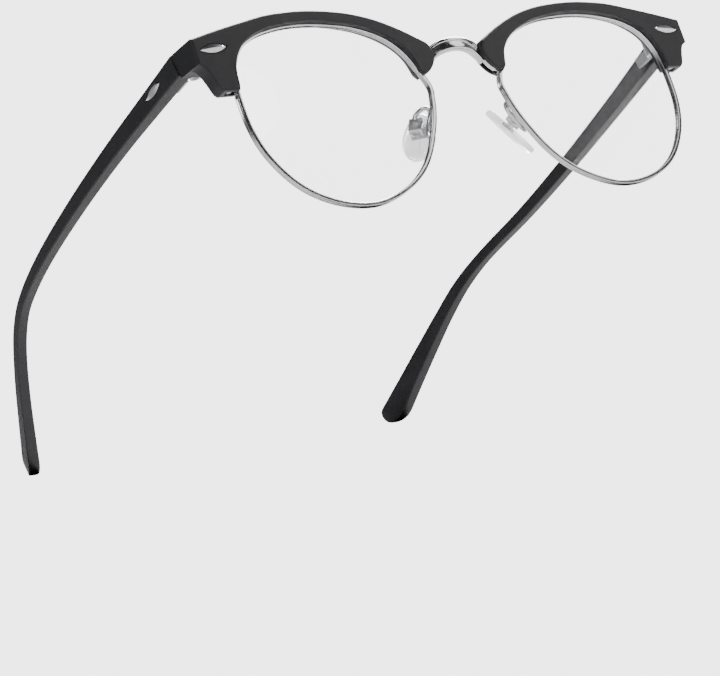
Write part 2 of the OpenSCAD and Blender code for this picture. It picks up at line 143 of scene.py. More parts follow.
END_SIDE = [
    (72.4, 35.4), (71.3, 35.4), (70.5, 35.15), (69.7, 34.5), (69, 33.4), (68.4, 32), (67.9, 30.6),
    (67.4, 29.5), (66.7, 28.9),
]
END_FRONT = 0.5
END_BACK = 10
END_HEIGHTS = (25, 50)
END_EASE = 0.45
END_BLOCK = [(65.6, 35.4), (72.4, 35.4), (72.3, 41.35), (65.6, 42.9)]
END_PLAN = [
    (70.6, -1), (70.6, 0), (70.9, 0.05), (71.12, 0.22), (71.25, 0.5), (72.2, 7.8), (73, 12),
    (80, 12), (80, -1),
]
SLOT_OUTLINE = [
    (8.16, 38.15), (6, 37.7), (6, 30), (11.5, 29), (12.4, 31.8), (13.3, 34.8), (14.8, 38.1), (14.3, 39.65),
    (13.2, 40.15), (10.6, 39.15),
]

BRIDGE_MIDDLE = [
    (-8.5, 34.2), (-7.6, 35.4), (-6.3, 36.35), (-4.6, 37.1), (-2.6, 37.5), (0, 37.65),
    (2.6, 37.5), (4.6, 37.1), (6.3, 36.35), (7.6, 35.4), (8.5, 34.2),
]
BRIDGE_END = 1.15
BRIDGE_FACE = [
    (-9.5, BRIDGE_END), (-7.6, BRIDGE_END), (-6, 0.7), (-4, 0), (-2, -0.45), (0, -0.6),
    (2, -0.45), (4, 0), (6, 0.7), (7.6, BRIDGE_END), (9.5, BRIDGE_END),
]
BRIDGE_MOUTH = [(5, 30), (10.1, 30), (10.1, 35.7), (9.1, 36.9), (7.6, 38.5), (5, 38.5)]
BRIDGE_T = 1.8
BRIDGE_HALF = 1.55

ROOT_Y = 6
TEMPLE_TOP = [
    (ROOT_Y, 42.05), (20.4, 39.9), (40.4, 37.2), (60.4, 34.4), (80.3, 31.6), (92.3, 29.9), (101.3, 28),
    (109.3, 25.1), (117.2, 20.7), (125.2, 15.8), (133.1, 10.7), (140.6, 5.9),
]
TEMPLE_BOTTOM = [
    (ROOT_Y, 36.45), (20.4, 35.1), (40.3, 33.1), (60.3, 30.8), (80.3, 28.4), (91.3, 27), (99.3, 25.4),
    (107.2, 22.4), (114.7, 18), (122.5, 12.3), (130.1, 6.3), (136.2, 1.3),
]
TEMPLE_OUT = [
    (72.3, ROOT_Y), (73.4, 20), (74.6, 38), (75.2, 58), (74.7, 78), (72.6, 95), (69.7, 108), (66.1, 120),
    (62.3, 131), (57.8, 143.6),
]
# The rounded tip: the lower and the upper edge of a section, and how much it is drawn in
TEMPLE_TIP = [
    ((137.6, 0.45), (141.3, 5.5), 0.02), ((138.9, 0.1), (141.9, 5.1), 0.07),
    ((140.1, 0.02), (142.5, 4.7), 0.15), ((141.2, 0.15), (142.9, 4.2), 0.28),
    ((142.1, 0.7), (143.2, 3.5), 0.5), ((142.7, 1.3), (143.3, 2.8), 0.8),
]
TEMPLE_THICK = [(0, 3.6), (12, 3.6), (30, 3.2), (60, 2.9), (100, 2.6), (144, 3.4)]

PAD_MID = (13.35, 8.3, 19.6)
PAD_TURN = (-27, -16, 50)
PAD_DROP = 0.9
PAD_L = 14.2
PAD_W = 7.6
PAD_T = 1.7
PAD_PIN_BACK = 1.3
BOX_W = 3
ARM_D = 1.1
ARM_ROUTE = [
    (14.2, 4.5, 16.4), (14, 5, 17.2), (13.2, 5.1, 18.9), (12, 4.9, 20.8), (11.3, 4.6, 22.2),
    (11.3, 4.5, 23.2), (11.9, 4.6, 23.75), (12.8, 4.95, 23.65), (13.75, 5.5, 23.2), (14.6, 5.95, 22.5),
    (15.13, 6.1, 21.5),
]

# Points closer than this are one, in millimetres for built solids and in metres for the design's
WELD = 0.0005
CAD_WELD = 2e-6
ROUND_STEPS = 4

# ---------- curves ----------


def spline(a, b, c, d, t):
    """One point of a Catmull-Rom span from b to c."""
    return tuple(
        0.5 * (2 * q + (r - p) * t + (2 * p - 5 * q + 4 * r - s) * t * t + (3 * q - p - 3 * r + s) * t ** 3)
        for p, q, r, s in zip(a, b, c, d))


def loop_curve(points, steps):
    """A closed smooth curve through the points."""
    m = len(points)
    return [
        spline(points[i - 1], points[i], points[(i + 1) % m], points[(i + 2) % m], k / steps)
        for i in range(m) for k in range(steps)]


def open_curve(points, steps):
    """An open smooth curve through the points, ends included."""
    m = len(points)
    curve = [
        spline(points[max(i - 1, 0)], points[i], points[i + 1], points[min(i + 2, m - 1)], k / steps)
        for i in range(m - 1) for k in range(steps)]
    return curve + [tuple(points[-1])]


def grown(loop, r):
    """An anticlockwise loop, moved outwards by r, or by r[i] at each point."""
    m = len(loop)
    out = []
    for i, p in enumerate(loop):
        a, b = loop[i - 1], loop[(i + 1) % m]
        dx, dy = b[0] - a[0], b[1] - a[1]
        size = math.hypot(dx, dy) or 1
        move = r[i] if isinstance(r, list) else r
        out.append((p[0] + move * dy / size, p[1] - move * dx / size))
    return out


def eased(loop, r, least=25):
    """The loop with each corner sharper than least degrees rounded over r."""
    m = len(loop)
    out = []
    for i, p in enumerate(loop):
        here = Vector(p)
        back = Vector(loop[i - 1]) - here
        ahead = Vector(loop[(i + 1) % m]) - here
        if math.degrees(math.pi - back.angle(ahead)) < least:
            out.append(tuple(p))
            continue
        a = here + back.normalized() * min(r, back.length * 0.45)
        b = here + ahead.normalized() * min(r, ahead.length * 0.45)
        for k in range(ROUND_STEPS + 1):
            t = k / ROUND_STEPS
            q = a * (1 - t) ** 2 + here * 2 * t * (1 - t) + b * t * t
            out.append((q.x, q.y))
    return out


def tamed(loop, weight, soft):
    """The weights, cut where an anticlockwise loop turns too tightly to be moved in by soft."""
    out = []
    for i, p in enumerate(loop):
        came = Vector(p) - Vector(loop[i - 1])
        goes = Vector(loop[(i + 1) % len(loop)]) - Vector(p)
        turn = math.atan2(came.x * goes.y - came.y * goes.x, came.dot(goes))
        reach = (came.length + goes.length) / 2
        out.append(min(weight[i], 0.6 * reach / turn / soft) if turn > 0.01 else weight[i])
    for _ in range(3):
        out = [min(w, (out[i - 1] + out[(i + 1) % len(out)]) / 2 + 0.1) for i, w in enumerate(out)]
    return out


def vesica(length, height, steps):
    """A pointed oval on two round arcs, anticlockwise."""
    r = (length ** 2 + height ** 2) / (4 * height)
    half = math.asin(length / 2 / r)
    across = [r * math.sin(-half + 2 * half * i / steps) for i in range(steps)]
    lower = [(x, (r - height / 2) - math.sqrt(r * r - x * x)) for x in across]
    return lower + [(-x, -y) for x, y in lower]


def lookup(x, table):
    """Straight-line reading of a table of (x, value)."""
    if x <= table[0][0]:
        return table[0][1]
    for (x0, v0), (x1, v1) in zip(table, table[1:]):
        if x <= x1:
            return v0 + (v1 - v0) * (x - x0) / (x1 - x0)
    return table[-1][1]


LENS_EDGE = loop_curve(LENS_POINTS, 8)
LENS_LIFT = RIM_OUT - min(p[1] for p in LENS_EDGE) - RIM_A * math.tan(math.radians(FRONT_TILT))
LENS_EDGE = [(x, v + LENS_LIFT) for x, v in LENS_EDGE]
TEMPLE_OUT_LINE = [(y, x) for x, y in open_curve(TEMPLE_OUT, 8)]

# ---------- frames ----------


def mirrored(side):
    return Matrix.Diagonal((SIDES[side], 1, 1, 1))


def front_frame(side="left"):
    """Half of the front: x from the nose, y up its face, z out towards the viewer."""
    turn = Matrix.Rotation(math.radians(90 + FRONT_TILT), 4, "X")
    return mirrored(side) @ Matrix.Translation((0, FRONT_Y, 0)) @ turn


def side_frame(side="left"):
    return mirrored(side) @ Matrix.Translation((0, -Y_MID, 0))


def pad_frame(side="left"):
    """x across the pad, z along it, and -y from the pad towards its box."""
    turn = Matrix.Identity(4)
    for angle, axis in zip(PAD_TURN, "XYZ"):
        turn = Matrix.Rotation(math.radians(angle), 4, axis) @ turn
    return side_frame(side) @ Matrix.Translation(PAD_MID) @ turn


def plaque_frame(side, on_temple):
    """x along the plaque, y across it, z outwards."""
    if not on_temple:
        turn = Matrix.Rotation(math.radians(PLAQUE_TURN), 4, "Z")
        return front_frame(side) @ Matrix.Translation((*PLAQUE_AT, 0)) @ turn
    y, z = TEMPLE_PLAQUE
    rise = lookup(y + 3, TEMPLE_OUT_LINE) - lookup(y - 3, TEMPLE_OUT_LINE)
    along = Vector((rise, 6, 0)).normalized()
    out = along.cross(Vector((0, 0, 1)))
    axes = Matrix((along, (0, 0, 1), out)).transposed().to_4x4()
    turn = Matrix.Rotation(math.radians(TEMPLE_PLAQUE_TURN), 4, "Z")
    place = Matrix.Translation((lookup(y, TEMPLE_OUT_LINE), y, z))
    return side_frame(side) @ place @ axes @ turn


def butt_frame(gap=0.0):
    """The leaning plane of the joint between endpiece and temple, in the side's frame."""
    lean = Matrix.Rotation(math.radians(-BUTT_LEAN), 4, "X")
    return Matrix.Translation((HINGE_X - 20, BUTT_Y + gap, BUTT_Z)) @ lean


SIDE_TO_FRONT = front_frame().inverted() @ side_frame()
# A prism drawn in x and depth, raised along the front's height
PLAN_TO_FRONT = Matrix(((1, 0, 0, 0), (0, 0, 1, 0), (0, -1, 0, 0), (0, 0, 0, 1)))
# A prism drawn across and along a pad, raised through its thickness
FACE_TO_PAD = Matrix(((1, 0, 0, 0), (0, 0, 1, 0), (0, 1, 0, 0), (0, 0, 0, 1)))

# ---------- solids ----------


def lofted(rings):
    """A closed solid through rings of equal length, capped at both ends."""
    bm = bmesh.new()
    made = [[bm.verts.new(p) for p in ring] for ring in rings]
    for low, high in zip(made, made[1:]):
        for i, vert in enumerate(low):
            j = (i + 1) % len(low)
            bm.faces.new((vert, low[j], high[j], high[i]))
    bm.faces.new(list(reversed(made[0])))
    bm.faces.new(made[-1])
    bmesh.ops.recalc_face_normals(bm, faces=bm.faces)
    return bm


def prism(outline, low, high, soft_low=0.0, soft_high=0.0, weight=None):
    """An outline raised from low to high, its edges rounded by the two soft radii."""
    weight = weight or [1.0] * len(outline)
    turns = [math.pi / 2 * k / ROUND_STEPS for k in range(ROUND_STEPS + 1)]
    levels = [(0, low + soft_low), (0, high - soft_high)]
    if soft_low:
        foot = [(soft_low * (1 - math.sin(a)), low + soft_low * (1 - math.cos(a))) for a in turns[:-1]]
        levels = foot + levels
    if soft_high:
        levels += [(soft_high * (1 - math.cos(a)), high - soft_high * (1 - math.sin(a))) for a in turns[1:]]
    return lofted([
        [(x, y, z) for x, y in grown(outline, [-inset * w for w in weight])] for inset, z in levels])


def circle(r, sides):
    """A round outline, anticlockwise."""
    return [(r * math.cos(math.tau * k / sides), r * math.sin(math.tau * k / sides)) for k in range(sides)]


def block(low, high, matrix=None):
    """A box between two corners."""
    (x0, y0, z0), (x1, y1, z1) = low, high
    bm = lofted([[(x0, y0, z), (x1, y0, z), (x1, y1, z), (x0, y1, z)] for z in (z0, z1)])
    if matrix:
        bm.transform(matrix)
    return bm


def rod(x, y, low, high, r, matrix=None):
    """A round bar along z."""
    bm = prism([(x + dx, y + dy) for dx, dy in circle(r, 40)], low, high)
    if matrix:
        bm.transform(matrix)
    return bm


def mesh_of(bm, name="work"):
    mesh = bpy.data.meshes.new(name)
    bm.to_mesh(mesh)
    bm.free()
    return mesh


def work_object(bm):
    obj = bpy.data.objects.new("work", mesh_of(bm))
    bpy.context.scene.collection.objects.link(obj)
    return obj


def evaluated(obj):
    """The object's finished mesh, as plain bmesh; the object and its modifiers go."""
    depsgraph = bpy.context.evaluated_depsgraph_get()
    mesh = bpy.data.meshes.new_from_object(obj.evaluated_get(depsgraph))
    bm = bmesh.new()
    bm.from_mesh(mesh)
    bpy.data.meshes.remove(mesh)
    bpy.data.objects.remove(obj)
    return bm


def joined(bm, others, operation="DIFFERENCE"):
    """The solid after each of the others is cut from it or added to it."""
    base = work_object(bm)
    tools = []
    for other in others:
        tool = work_object(other)
        tool.hide_render = True
        step = base.modifiers.new("step", "BOOLEAN")
        step.operation = operation
        step.solver = "EXACT"
        step.object = tool
        tools.append(tool)
    result = evaluated(base)
    for tool in tools:
        bpy.data.objects.remove(tool)
    if not result.faces:
        raise RuntimeError("a cut left nothing of a piece")
    bmesh.ops.remove_doubles(result, verts=result.verts, dist=WELD)
    return result


def refined(node, ease):
    """A copy of a CAD node in metres, its flat faces whole and its edges eased."""
    bm = bmesh.new()
    bm.from_mesh(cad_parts[node].data)
    bmesh.ops.remove_doubles(bm, verts=bm.verts, dist=CAD_WELD)
    bmesh.ops.dissolve_limit(bm, angle_limit=math.radians(1), verts=bm.verts, edges=bm.edges)
    sharp = [e for e in bm.edges if e.is_manifold and e.calc_face_angle(0) > math.radians(35)]
    bmesh.ops.bevel(
        bm, geom=sharp, offset=ease * MM, segments=2, profile=0.6, affect="EDGES", clamp_overlap=True)
    return bm


def finish_piece(name, bm, place, material, body, nodes, sharp=32):
    """Puts a solid in its place in metres, shades it, and hands it to its body."""
    if place is not None:
        bm.transform(Matrix.Scale(MM, 4) @ place)
    bmesh.ops.recalc_face_normals(bm, faces=bm.faces)
    for face in bm.faces:
        face.smooth = True
    for edge in bm.edges:
        edge.smooth = edge.is_manifold and edge.calc_face_angle(0) < math.radians(sharp)
    mesh = mesh_of(bm, name)
    mesh.materials.clear()
    mesh.materials.append(material)
    obj = bpy.data.objects.new(name, mesh)
    bpy.context.scene.collection.objects.link(obj)
    weighted = obj.modifiers.new("even shading", "WEIGHTED_NORMAL")
    weighted.keep_sharp = True
    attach(obj, body)
    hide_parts(*nodes)


# ---------- node trees ----------


def new_tree(name, sockets):
    tree = bpy.data.node_groups.new(name, "GeometryNodeTree")
    tree.is_modifier = True
    for label, kind in sockets:
        tree.interface.new_socket(label, in_out="INPUT", socket_type=kind)
    tree.interface.new_socket("Geometry", in_out="OUTPUT", socket_type="NodeSocketGeometry")
    return tree, tree.nodes.new("NodeGroupInput"), tree.nodes.new("NodeGroupOutput")


def wire_tree(name, mode):
    """Sweeps a profile along a path, at an even spacing."""
    tree, given, result = new_tree(name, [
        ("Geometry", "NodeSocketGeometry"), ("Path", "NodeSocketObject"), ("Profile", "NodeSocketObject"),
        ("Spacing", "NodeSocketFloat"), ("Finish", "NodeSocketMaterial")])
    link = tree.links.new
    path = tree.nodes.new("GeometryNodeObjectInfo")
    profile = tree.nodes.new("GeometryNodeObjectInfo")
    even = tree.nodes.new("GeometryNodeResampleCurve")
    even.mode = "LENGTH"
    normal = tree.nodes.new("GeometryNodeSetCurveNormal")
    normal.mode = mode
    sweep = tree.nodes.new("GeometryNodeCurveToMesh")
    sweep.inputs["Fill Caps"].default_value = True
    real = tree.nodes.new("GeometryNodeRealizeInstances")
    paint = tree.nodes.new("GeometryNodeSetMaterial")
    link(given.outputs["Path"], path.inputs["Object"])
    link(given.outputs["Profile"], profile.inputs["Object"])
    link(path.outputs["Geometry"], even.inputs["Curve"])
    link(given.outputs["Spacing"], even.inputs["Length"])
    link(even.outputs["Curve"], normal.inputs["Curve"])
    link(normal.outputs["Curve"], sweep.inputs["Curve"])
    link(profile.outputs["Geometry"], sweep.inputs["Profile Curve"])
    link(sweep.outputs["Mesh"], real.inputs["Geometry"])
    link(real.outputs["Geometry"], paint.inputs["Geometry"])
    link(given.outputs["Finish"], paint.inputs["Material"])
    link(paint.outputs["Geometry"], result.inputs["Geometry"])
    return tree


def screw_tree():
    """Stands a screw on each point, along the point's own axis."""
    tree, given, result = new_tree("Screws on points", [
        ("Geometry", "NodeSocketGeometry"), ("Screw", "NodeSocketObject"),
        ("Finish", "NodeSocketMaterial")])
    link = tree.links.new
    screw = tree.nodes.new("GeometryNodeObjectInfo")
    axis = tree.nodes.new("GeometryNodeInputNamedAttribute")
    axis.data_type = "FLOAT_VECTOR"
    axis.inputs["Name"].default_value = "axis"
    turn = tree.nodes.new("FunctionNodeAlignRotationToVector")
    turn.axis = "Z"
    stand = tree.nodes.new("GeometryNodeInstanceOnPoints")
    real = tree.nodes.new("GeometryNodeRealizeInstances")
    paint = tree.nodes.new("GeometryNodeSetMaterial")
    link(given.outputs["Screw"], screw.inputs["Object"])
    link(given.outputs["Geometry"], stand.inputs["Points"])
    link(screw.outputs["Geometry"], stand.inputs["Instance"])
    link(axis.outputs["Attribute"], turn.inputs["Vector"])
    link(turn.outputs["Rotation"], stand.inputs["Rotation"])
    link(stand.outputs["Instances"], real.inputs["Geometry"])
    link(real.outputs["Geometry"], paint.inputs["Geometry"])
    link(given.outputs["Finish"], paint.inputs["Material"])
    link(paint.outputs["Geometry"], result.inputs["Geometry"])
    return tree


def run_tree(host_bm, tree, values):
    """The mesh that a tree makes of a host, with its inputs set by their labels."""
    host = work_object(host_bm)
    modifier = host.modifiers.new("tree", "NODES")
    modifier.node_group = tree
    for item in tree.interface.items_tree:
        if item.item_type == "SOCKET" and item.in_out == "INPUT" and item.name in values:
            modifier[item.identifier] = values[item.name]
    return evaluated(host)


def curve_object(points, closed):
    curve = bpy.data.curves.new("line", "CURVE")
    curve.dimensions = "3D"
    line = curve.splines.new("POLY")
    line.points.add(len(points) - 1)
    for target, point in zip(line.points, points):
        x, y, z = (*point, 0)[:3]
        target.co = (x, y, z, 1)
    line.use_cyclic_u = closed
    obj = bpy.data.objects.new("line", curve)
    bpy.context.scene.collection.objects.link(obj)
    return obj


def swept(path, profile, closed, spacing, finish, mode="Z_UP"):
    """A profile carried along a path: across to the path's right, then downwards."""
    tree = bpy.data.node_groups.get("Wire " + mode) or wire_tree("Wire " + mode, mode)
    lines = [curve_object(path, closed), curve_object(profile, True)]
    bm = run_tree(bmesh.new(), tree, {
        "Path": lines[0], "Profile": lines[1], "Spacing": spacing, "Finish": finish})
    for line in lines:
        bpy.data.objects.remove(line)
    if not bm.faces:
        raise RuntimeError("a sweep made nothing")
    bmesh.ops.remove_doubles(bm, verts=bm.verts, dist=WELD)
    bmesh.ops.recalc_face_normals(bm, faces=bm.faces)
    return bm


# ---------- finishes ----------


class Shader:
    """Short names for building one material."""

    def __init__(self, name):
        self.material = bpy.data.materials.new(name)
        self.material.use_nodes = True
        self.tree = self.material.node_tree
        self.main = self.tree.nodes["Principled BSDF"]
        self.place = self.add("ShaderNodeTexCoord").outputs["Object"]

    def add(self, kind, **inputs):
        node = self.tree.nodes.new(kind)
        for label, value in inputs.items():
            node.inputs[label.replace("_", " ")].default_value = value
        return node

    def link(self, source, target):
        self.tree.links.new(source, target)

    def set(self, **values):
        for label, value in values.items():
            self.main.inputs[label.replace("_", " ")].default_value = value

    def stretched(self, scale):
        node = self.add("ShaderNodeMapping")
        node.inputs["Scale"].default_value = scale
        self.link(self.place, node.inputs["Vector"])
        return node.outputs["Vector"]

    def noise(self, scale, detail=3.0, vector=None):
        node = self.add("ShaderNodeTexNoise", Scale=scale, Detail=detail)
        self.link(vector or self.place, node.inputs["Vector"])
        return node.outputs["Fac"]

    def ranged(self, source, low, high, start=0.3, end=0.7):
        node = self.add("ShaderNodeMapRange", From_Min=start, From_Max=end, To_Min=low, To_Max=high)
        self.link(source, node.inputs["Value"])
        return node.outputs["Result"]

    def colours(self, source, low, high, start=0.3, end=0.7):
        node = self.add("ShaderNodeValToRGB")
        node.color_ramp.elements[0].position = start
        node.color_ramp.elements[1].position = end
        node.color_ramp.elements[0].color = (*low, 1)
        node.color_ramp.elements[1].color = (*high, 1)
        self.link(source, node.inputs["Fac"])
        return node.outputs["Color"]

    def bump(self, source, strength, distance, under=None):
        node = self.add("ShaderNodeBump", Strength=strength, Distance=distance)
        self.link(source, node.inputs["Height"])
        if under:
            self.link(under, node.inputs["Normal"])
        return node.outputs["Normal"]


def moulded_plastic(name, colour, roughness):
    """Satin black acetate-like moulding: fine grain, cloudy polish, faint handling scuffs."""
    s = Shader(name)
    s.set(IOR=1.42, Coat_Weight=0.05, Coat_Roughness=0.25)
    cloud = s.noise(160, 4)
    lighter = tuple(min(1, c * 1.35 + 0.002) for c in colour)
    s.link(s.colours(cloud, tuple(colour), lighter), s.main.inputs["Base Color"])
    scuff = s.noise(900, 6, s.stretched((1, 0.12, 1)))
    rough = s.add("ShaderNodeMath")
    rough.operation = "ADD"
    s.link(s.ranged(cloud, roughness - 0.05, roughness + 0.05), rough.inputs[0])
    s.link(s.ranged(scuff, 0.0, 0.07, 0.55, 0.75), rough.inputs[1])
    s.link(rough.outputs["Value"], s.main.inputs["Roughness"])
    grain = s.bump(s.noise(5200, 2), 0.16, 0.00003)
    s.link(s.bump(cloud, 0.05, 0.0003, grain), s.main.inputs["Normal"])
    return s.material


def polished_metal(name, colour, roughness):
    """Plated silver: mirror polish with fine hairlines and slight dulling."""
    s = Shader(name)
    s.set(Metallic=1.0)
    cloud = s.noise(420, 4)
    dull = tuple(c * 0.9 for c in colour)
    s.link(s.colours(cloud, dull, tuple(colour)), s.main.inputs["Base Color"])
    hair = s.noise(3800, 3, s.stretched((1, 1, 0.15)))
    rough = s.add("ShaderNodeMath")
    rough.operation = "ADD"
    s.link(s.ranged(cloud, roughness, roughness + 0.07), rough.inputs[0])
    s.link(s.ranged(hair, 0.0, 0.06, 0.5, 0.75), rough.inputs[1])
    s.link(rough.outputs["Value"], s.main.inputs["Roughness"])
    s.link(s.bump(hair, 0.05, 0.00002), s.main.inputs["Normal"])
    return s.material


def clear_moulding(name, colour, roughness, alpha, ior, ripple):
    """A clear plastic: see-through, with a surface that is never quite even."""
    s = Shader(name)
    s.set(IOR=ior, Transmission_Weight=1.0, Alpha=alpha, Base_Color=(*colour, 1))
    cloud = s.noise(300, 3)
    s.link(s.ranged(cloud, roughness, roughness + 0.04), s.main.inputs["Roughness"])
    s.link(s.bump(cloud, ripple, 0.0002), s.main.inputs["Normal"])
    s.material.surface_render_method = "BLENDED"
    return s.material


def finish(key):
    """The material for one finish, made once."""
    made = bpy.data.materials.get(key)
    if made:
        return made
    look = bpy.context.scene.eyeglass_finishes
    makers = {
        "brow plastic": lambda: moulded_plastic(key, look.plastic, look.plastic_roughness),
        "temple plastic": lambda: moulded_plastic(key, look.plastic, look.plastic_roughness + 0.02),
        "eyewire silver": lambda: polished_metal(key, look.silver, look.silver_roughness),
        "bridge silver": lambda: polished_metal(key, look.silver, look.silver_roughness * 0.8),
        "plaque silver": lambda: polished_metal(key, look.silver, look.silver_roughness * 0.9),
        "pad arm silver": lambda: polished_metal(key, look.silver, look.silver_roughness),
        "hinge steel": lambda: polished_metal(key, look.steel, 0.28),
        "screw steel": lambda: polished_metal(key, look.steel, 0.24),
        "clear lens": lambda: clear_moulding(key, (0.98, 0.99, 1.0), 0.0, 0.015, 1.5, 0.0),
        "soft clear pad": lambda: clear_moulding(key, look.pad, 0.12, 0.45, 1.43, 0.2),
        "clear lug": lambda: clear_moulding(key, (0.9, 0.91, 0.93), 0.06, 0.6, 1.49, 0.1),
    }
    return makers[key]()


# ---------- pieces ----------


def plaque_recess(length, height):
    """What a plaque's recess takes away, flaring outwards."""
    ring = vesica(length + 0.25, height + 0.15, PLAQUE_STEPS)
    return lofted([
        [(x, y, -PLAQUE_SINK) for x, y in ring],
        [(x, y, -0.22) for x, y in grown(ring, 0.06)],
        [(x, y, 0.3) for x, y in grown(ring, 0.5)]])


def brow_solid():
    """The left brow, in the front's frame."""
    size = bpy.context.scene.eyeglass_sizes
    top, under = open_curve(BROW_TOP, 6), open_curve(BROW_UNDER, 6)
    parts = [(under, 0.4), (open_curve(NASAL_END, 4), 0.8), (top, 1.0), (END_SIDE, 0.5)]
    loop = [(p, w) for points, w in parts for p in points]
    loop.reverse()
    weight = [w for _, w in loop]
    # Soften the change of rounding from one run to the next
    for _ in range(4):
        weight = [(weight[i - 1] + w + weight[(i + 1) % len(weight)]) / 3 for i, w in enumerate(weight)]
    soft = size.brow_rounding / MM
    outline = [p for p, _ in loop]
    body = prism(outline, -BROW_DEPTH, 0, soft, soft, tamed(outline, weight, soft))
    end = prism(eased(END_BLOCK, END_EASE), -END_BACK, -END_FRONT)
    body = joined(body, [end], "UNION")
    plan = prism(list(reversed(END_PLAN)), *END_HEIGHTS)
    plan.transform(PLAN_TO_FRONT)
    recess = plaque_recess(PLAQUE_L, PLAQUE_H)
    recess.transform(front_frame().inverted() @ plaque_frame("left", False))
    x, v = PLATE_SCREW
    hinge = SIDE_TO_FRONT @ Matrix.Translation((HINGE_X, HINGE_Y, HINGE_LOW))
    return joined(body, [
        plan,
        block(*BEHIND_BUTT, SIDE_TO_FRONT @ butt_frame()),
        prism(grown(LENS_EDGE, RIM_OUT + GAP), -(RIM_B + GAP), -(RIM_A - GAP)),
        prism(list(reversed(SLOT_OUTLINE)), -(PLATE_B + GAP), -(PLATE_A - GAP)),
        prism(BRIDGE_MOUTH, -(BRIDGE_END + BRIDGE_T + 0.1), -(BRIDGE_END - 0.05)),
        block(
            (LOCK_X + LOCK_POCKET[0], LOCK_POCKET_LOW, -(LOCK_B + 0.1)),
            (LOCK_X + LOCK_POCKET[1], LOCK_HIGH + 0.1, -(LOCK_A - 0.1))),
        recess,
        rod(x, v, -PAST_BACK, -PLATE_A, PLATE_SCREW_R),
        rod(x, v, -PAST_BACK, -(BROW_DEPTH - PLATE_HEAD_SINK), PLATE_HEAD_HOLE_R),
        rod(0, 0, -WELL_BELOW, WELL_ABOVE, WELL_R, hinge),
        block((-4, -WELL_R, -WELL_BELOW), (0, 8, WELL_ABOVE), hinge),
        block(
            (-LEAF_HALF, -LEAF_FRONT_L, LEAF_INSET), (LEAF_HALF, -WELL_R, BARREL_H - LEAF_INSET), hinge),
    ])


class EYEGLASS_OT_brows(bpy.types.Operator):
    """Makes the two moulded brows"""

    bl_idname = "eyeglass.brows"
    bl_label = "Brows"

    def execute(self, context):
        solid = brow_solid()
        for side in SIDES:
            finish_piece(
                "brow_" + side, solid.copy(), front_frame(side), finish("brow plastic"), "front",
                ["browline_" + side], 28)
        solid.free()
        return {"FINISHED"}


class EYEGLASS_OT_eyewires(bpy.types.Operator):
    """Sweeps the grooved eyewires round the lens edges"""

    bl_idname = "eyeglass.eyewires"
    bl_label = "Eyewires"

    def execute(self, context):
        a, b, out, lip = RIM_A, RIM_B, RIM_OUT, RIM_LIP
        mid = (a + b) / 2
        profile = [
            (-lip, a + 0.07), (-lip + 0.07, a), (out - 0.25, a), (out - 0.1, a + 0.06), (out, a + 0.24),
            (out, mid - 0.22), (out - 0.13, mid), (out, mid + 0.22), (out, b - 0.24), (out - 0.1, b - 0.06),
            (out - 0.25, b), (-lip + 0.07, b), (-lip, b - 0.07), (-lip, GROOVE_B), (0.1, GROOVE_B),
            (0.1, GROOVE_A), (-lip, GROOVE_A)]
        metal = finish("eyewire silver")
        for side in SIDES:
            bm = swept(LENS_EDGE, profile, True, 0.5, metal)
            finish_piece(
                "eyewire_" + side, bm, front_frame(side), metal, "front", ["rim_" + side], 30)
        return {"FINISHED"}


class EYEGLASS_OT_lenses(bpy.types.Operator):
    """Makes the two clear lenses, slightly domed"""

    bl_idname = "eyeglass.lenses"
    bl_label = "Lenses"

    def execute(self, context):
        crown = context.scene.eyeglass_sizes.lens_crown / MM
        edge = grown(LENS_EDGE, 0.05)
        cx = sum(p[0] for p in edge) / len(edge)
        cy = sum(p[1] for p in edge) / len(edge)
        shares = [0.02, 0.2, 0.4, 0.6, 0.8, 0.97]
        front, back = -(GROOVE_A + GAP), -(GROOVE_B - GAP)

        def ring(share, base):
            lift = crown * (1 - share * share)
            return [(cx + (x - cx) * share, cy + (y - cy) * share, base + lift) for x, y in edge]

        rings = [ring(s, back) for s in shares] + [ring(1, back), ring(1, front)]
        rings += [ring(s, front) for s in reversed(shares)]
        solid = lofted(rings)
        for side in SIDES:
            finish_piece(
                "clear_lens_" + side, solid.copy(), front_frame(side), finish("clear lens"), "front",
                ["lens_" + side], 40)
        solid.free()
        return {"FINISHED"}


class EYEGLASS_OT_bridge(bpy.types.Operator):
    """Sweeps the arched bridge, cuts its channel and adds its two plates"""

    bl_idname = "eyeglass.bridge"
    bl_label = "Bridge"

    def execute(self, context):
        metal = finish("bridge silver")
        face = open_curve(BRIDGE_FACE, 8)
        line = open_curve(BRIDGE_MIDDLE, 8)

        def depth(x):
            return lookup(x, face)

        path = [(x, v, -depth(x)) for x, v in line]
        h, t = BRIDGE_HALF, BRIDGE_T
        bar = eased([(-h, 0), (h, 0), (h, t), (-h, t)], 0.55)
        solid = swept(path, bar, False, 0.25, metal)
        channel = [(x, v + 0.25, -depth(x)) for x, v in line if abs(x) < 6.4]
        cutter = swept(channel, [(-0.72, -0.6), (0.72, -0.6), (0.5, 0.5), (-0.5, 0.5)], False, 0.25, metal)
        solid = joined(solid, [cutter])
        finish_piece("arched_bridge", solid, front_frame(), metal, "front", ["bridge"], 38)
        for side in SIDES:
            node = "bridge_plate_" + side
            finish_piece(
                "bridge_tab_" + side, refined(node, 0.09), None, metal, "front", [node], 40)
        return {"FINISHED"}


